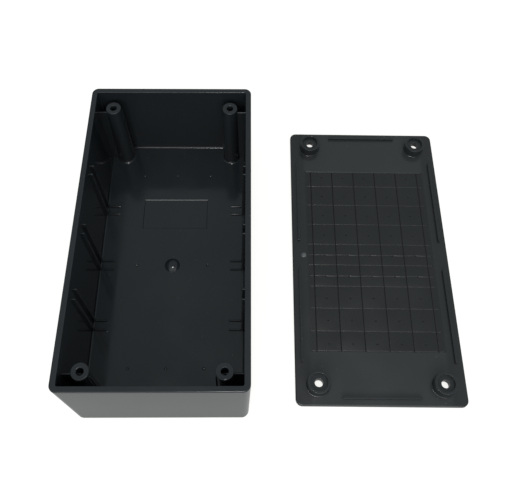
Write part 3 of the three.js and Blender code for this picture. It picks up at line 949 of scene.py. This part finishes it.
def v_cutter(length, turn, x, y):
    open_half = GROOVE_HALF_WIDTH * (1 + CUT_RISE / GROOVE_DEPTH)
    mouth = PANEL_FACE + CUT_RISE
    shape = bmesh.new()
    ends = []
    for along in (-length / 2, length / 2):
        ends.append([shape.verts.new(place) for place in (
            (0, along, PANEL_FACE - GROOVE_DEPTH), (open_half, along, mouth),
            (-open_half, along, mouth))])
    near_end, far_end = ends
    shape.faces.new(near_end)
    shape.faces.new(far_end[::-1])
    for index in range(3):
        after = (index + 1) % 3
        shape.faces.new((near_end[after], near_end[index], far_end[index], far_end[after]))
    bmesh.ops.recalc_face_normals(shape, faces=shape.faces)
    return moved(shape, x, y, 0, turn)


lid_plate = as_object(plate(), "lid_plate")
panel = slab(-PANEL_X, PANEL_X, -PANEL_Y, PANEL_Y, PANEL_FACE, PANEL_FACE + CUT_RISE)
column_length = 2 * PANEL_Y - 2 * GROOVE_FROM_END
row_length = 2 * PANEL_X - 2 * GROOVE_FROM_SIDE
columns = joined(*[v_cutter(column_length, 0, x, 0) for x in COLUMN_LINES])
rows = joined(*[v_cutter(row_length, math.pi / 2, 0, y) for y in ROW_LINES])
pits = joined(*[
    pit_cutter(CELL_PIT_DIAMETER, CELL_PIT_DEPTH, PANEL_FACE, column * PITCH, row * PITCH)
    for column in range(-2, 3) for row in range(-4, 5)])
hole_outline = [
    (0, HOLE_LOW), (HOLE_RADIUS, HOLE_LOW), (HOLE_RADIUS, HOLE_HIGH), (0, HOLE_HIGH)]
holes = joined(*[moved(turned(hole_outline), x * POST_X, y * POST_Y) for x, y in CORNERS])
for number, cutter in enumerate((panel, columns, rows, pits, holes)):
    cut_away(lid_plate, as_object(cutter, f"lid_cutter_{number}"))
lid_plate.data.transform(
    Matrix.Translation((LID_MIDDLE[0] * MM, LID_MIDDLE[1] * MM, 0))
    @ Matrix.Rotation(LID_TURN, 4, "Z"))
finished(lid_plate, "lid", lid_plastic)
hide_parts("lid")

# %% [markdown]
# ## Cups
# Each cup is a short tube that fits over a post. Its floor has the screw hole, and from the
# outer side a recess takes the screw's head. The whole section is one closed outline, spun
# round the hole.

# %% Cups
SCREW_HOLE, CUP_BORE, CUP_RADIUS, CUP_FOOT = 2.45, 5.1, 6.7, 7.6
CUP_SEAT, CUP_TOP = PLATE + 4.6, PLATE + 6.6
RECESS_RADIUS, RECESS_ROOF = 4.8, 3.4
CUP_SUNK, RECESS_STEP = 2.5, 0.4
SEAT_ROUND, BORE_ROUND, TOP_ROUND, CUP_FILLET = 0.1, 0.2, 0.25, 0.5


def cup():
    return turned(
        [(SCREW_HOLE, RECESS_ROOF), (SCREW_HOLE, CUP_SEAT), (CUP_BORE, CUP_SEAT),
         (CUP_BORE, CUP_TOP), (CUP_RADIUS, CUP_TOP), (CUP_RADIUS, PLATE + SKIN),
         (CUP_FOOT, PLATE + SKIN), (CUP_FOOT, CUP_SUNK), (RECESS_RADIUS + RECESS_STEP, CUP_SUNK),
         (RECESS_RADIUS, CUP_SUNK + RECESS_STEP), (RECESS_RADIUS, RECESS_ROOF),
         (SCREW_HOLE, RECESS_ROOF)],
        {1: SEAT_ROUND, 3: BORE_ROUND, 4: TOP_ROUND, 5: CUP_FILLET})


cups = joined(*[moved(cup(), x * POST_X, y * POST_Y) for x, y in CORNERS])
finished(as_object(on_lid(cups), "lid_cups"), "lid", cup_plastic_with_painted_shade)

# %% [markdown]
# ## Locating ribs and gate mark
# Low ribs drop just inside the rim and keep the lid square. They leave the middle of the long
# sides free. A small rough dome in line with the left ribs is where the lid's mould was filled.

# %% Ribs
RIB_SUNK, RIB_RISE, RIB_ROUND = 0.5, 2, 0.15
RIB_HALF = 0.7
RIB_CLEARANCE = 0.35
END_RIB_FROM_CUP = 7
SIDE_RIB_START, SIDE_RIB_FROM_END = 10, 25
LID_GATE_RADIUS, LID_GATE_HEIGHT, LID_GATE_RINGS = 1.8, 0.9, 16
LID_GATE_FROM_RIB = 2.75


def lid_rib(x0, x1, y0, y1):
    shape = slab(x0, x1, y0, y1, PLATE - RIB_SUNK, PLATE + RIB_RISE)
    above = [e for e in shape.edges if not all(v.co.z < PLATE for v in e.verts)]
    soften(shape, above, RIB_ROUND, 3)
    return shape


rib_x = INNER_HALF_WIDTH - RIB_CLEARANCE
rib_y = INNER_HALF_LENGTH - RIB_CLEARANCE
rib_end = POST_X - CUP_RADIUS - END_RIB_FROM_CUP
side_end = HALF_LENGTH - SIDE_RIB_FROM_END
ribs = []
for side in (-1, 1):
    middle = side * (rib_y - RIB_HALF)
    ribs.append(lid_rib(-rib_end, rib_end, middle - RIB_HALF, middle + RIB_HALF))
for side in (-1, 1):
    middle = side * (rib_x - RIB_HALF)
    ribs.append(lid_rib(middle - RIB_HALF, middle + RIB_HALF, SIDE_RIB_START, side_end))
    ribs.append(lid_rib(middle - RIB_HALF, middle + RIB_HALF, -side_end, -SIDE_RIB_START))
finished(
    as_object(on_lid(joined(*ribs)), "lid_ribs"), "lid", cup_plastic_with_painted_shade)

lid_gate = moved(
    dome(LID_GATE_RADIUS, LID_GATE_HEIGHT, LID_GATE_RINGS),
    LID_GATE_FROM_RIB - (rib_x - RIB_HALF), 0, PLATE)
finished(
    as_object(on_lid(lid_gate), "lid_gate_mark"), "lid", torn_plastic)

# %% [markdown]
# # The screws
# Four short self-tapping screws hold the lid. The thread is a real helix: a small ridge outline
# is spun several turns while it climbs, round a plain core with a point. The head is a turned
# pan with a cross cut into it, and the thread is laid on after that cut.

# %% Screw shape
CREST = 2.3
ROOT = 1.7
SHANK = 16.0
POINT = 3.0
THREAD_PITCH = 2.0
STEPS_PER_TURN = 24
THREAD_TURNS = 6
THREAD_LEAD = 0.5
RIDGE_FOOT, RIDGE_CREST = ROOT - 0.2, CREST - 0.1
RIDGE_HALF, CREST_HALF = 0.55, 0.06
HEAD_RADIUS, HEAD_SIDE, HEAD_TOP = 4.5, 1.4, 3.2
CROSS_HALF_LENGTH, CROSS_HALF_WIDTH = 2.3, 0.5
CROSS_FLOOR, CROSS_HIGH = 1.4, 4
CROSS_ROUND = 0.25


def thread():
    ridge = bmesh.new()
    low = ridge.verts.new((RIDGE_FOOT, 0, -RIDGE_HALF))
    crest = ridge.verts.new((RIDGE_CREST, 0, -CREST_HALF))
    crest_top = ridge.verts.new((RIDGE_CREST, 0, CREST_HALF))
    high = ridge.verts.new((RIDGE_FOOT, 0, RIDGE_HALF))
    for start, end in ((low, crest), (crest, crest_top), (crest_top, high), (high, low)):
        ridge.edges.new((start, end))
    bmesh.ops.spin(
        ridge, geom=ridge.verts[:] + ridge.edges[:], cent=(0, 0, 0), axis=(0, 0, 1),
        dvec=(0, 0, THREAD_PITCH / STEPS_PER_TURN), angle=math.tau * THREAD_TURNS,
        steps=STEPS_PER_TURN * THREAD_TURNS, use_merge=False, use_duplicate=False)
    bmesh.ops.translate(ridge, vec=(0, 0, POINT - SHANK - THREAD_LEAD), verts=ridge.verts)
    bmesh.ops.holes_fill(ridge, edges=[e for e in ridge.edges if e.is_boundary], sides=0)
    bmesh.ops.recalc_face_normals(ridge, faces=ridge.faces)
    return ridge


def core_and_head():
    return turned(
        [(0, -SHANK), (ROOT, POINT - SHANK), (ROOT, 0), (HEAD_RADIUS, 0),
         (HEAD_RADIUS, HEAD_SIDE), (3.6, 2.7), (2.0, HEAD_TOP), (0, HEAD_TOP)],
        {1: 0.5, 3: 0.15, 4: 0.7, 5: 0.8})


def cross():
    long, wide = CROSS_HALF_LENGTH, CROSS_HALF_WIDTH
    across = slab(-long, long, -wide, wide, CROSS_FLOOR, CROSS_HIGH)
    along = slab(-wide, wide, -long, long, CROSS_FLOOR, CROSS_HIGH)
    for shape in (across, along):
        soften(shape, edges_at(shape, CROSS_FLOOR), CROSS_ROUND, 2)
    return across, along


def add_thread(screw):
    ridge = as_object(thread(), "thread_ridge")
    whole = bmesh.new()
    whole.from_mesh(screw.data)
    whole.from_mesh(ridge.data)
    whole.to_mesh(screw.data)
    whole.free()
    bpy.data.objects.remove(ridge)


# %% Lay the screws down
LAST_CREST_BACK = 0.9
slope = math.atan2(HEAD_RADIUS - CREST, SHANK - POINT - LAST_CREST_BACK)
for number in range(1, 5):
    screw_low, screw_high = [[v / MM for v in c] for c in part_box(f"lid_screw_{number}")]
    screw = as_object(core_and_head(), f"screw_{number}")
    for cutter in cross():
        cut_away(screw, as_object(cutter, "cross_cutter"))
    add_thread(screw)
    head_x = screw_high[0] - SHANK * math.cos(slope)
    row_y = (screw_low[1] + screw_high[1]) / 2
    head_z = HEAD_RADIUS * math.cos(slope)
    screw.data.transform(
        Matrix.Translation((head_x * MM, row_y * MM, head_z * MM))
        @ Matrix.Rotation(slope - math.pi / 2, 4, "Y"))
    finished(screw, f"screw_{number}", zinc)
    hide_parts(f"lid_screw_{number}")

# %% [markdown]
# # The studio
# A wide pale floor and soft lights. The floor glows a little so that it stays near white right
# up to the object and lights the outer walls from below, as a light table does.

# %% Floor
FLOOR_HALF_SIDE, FLOOR_DROP = 3000, 0.2
FLOOR_GREY, FLOOR_GLOW = (0.3, 0.3, 0.3, 1), (1.0, 1.0, 0.97, 1)
FLOOR_ROUGHNESS = 0.9
GLOW_ON_OBJECT, GLOW_SEEN = 0.3, 0.86

floor_shape = bmesh.new()
bmesh.ops.create_grid(floor_shape, x_segments=1, y_segments=1, size=FLOOR_HALF_SIDE)
floor = as_object(moved(floor_shape, z=-FLOOR_DROP), "studio_floor")
floor_paint, floor_tree, paint = started("pale_floor")
paint.inputs["Base Color"].default_value = FLOOR_GREY
paint.inputs["Roughness"].default_value = FLOOR_ROUGHNESS
paint.inputs["Specular IOR Level"].default_value = 0.0
paint.inputs["Emission Color"].default_value = FLOOR_GLOW
seen_or_lighting = floor_tree.nodes.new("ShaderNodeLightPath").outputs["Is Camera Ray"]
glow = remapped(floor_tree, seen_or_lighting, 0.0, 1.0, GLOW_ON_OBJECT, GLOW_SEEN)
floor_tree.links.new(glow, paint.inputs["Emission Strength"])
floor.data.materials.append(floor_paint)

# %% [markdown]
# ## Light
# The room is an even soft grey. A big soft panel hangs over the near side, so faces that look
# up near the front are the brightest. A small lamp above the box puts the sharp highlights on
# the dome and the rounded edges, and a wide panel in front lights the near walls and the
# chamfers that face it.

# %% Room and soft panels
ROOM_TINT, ROOM_STRENGTH = (0.87, 0.96, 1.0, 1), 0.4
LIT_SPOT = Vector((0.06, 0.0, 0.0))

room = bpy.data.worlds.new("soft_room")
bpy.context.scene.world = room
room.use_nodes = True
backdrop = room.node_tree.nodes["Background"]
backdrop.inputs["Color"].default_value = ROOM_TINT
backdrop.inputs["Strength"].default_value = ROOM_STRENGTH


def soft_panel(name, width, height, watts, place):
    light = bpy.data.lights.new(name, "AREA")
    light.shape = "RECTANGLE"
    light.size = width
    light.size_y = height
    light.energy = watts
    lamp = bpy.data.objects.new(name, light)
    bpy.context.collection.objects.link(lamp)
    aim = (LIT_SPOT - Vector(place)).to_track_quat("-Z", "Y").to_matrix().to_4x4()
    lamp.matrix_world = Matrix.Translation(place) @ aim


soft_panel("overhead_panel", width=1.6, height=1.0, watts=2.9, place=(0.05, -0.45, 1.4))
soft_panel("ceiling_lamp", width=0.17, height=0.17, watts=2.5, place=(0.02, -0.08, 1.4))
soft_panel("front_panel", width=1.4, height=0.6, watts=8.0, place=(0.0, -1.2, 0.73))
bpy.context.scene.view_settings.view_transform = "Standard"
print("lights ready")
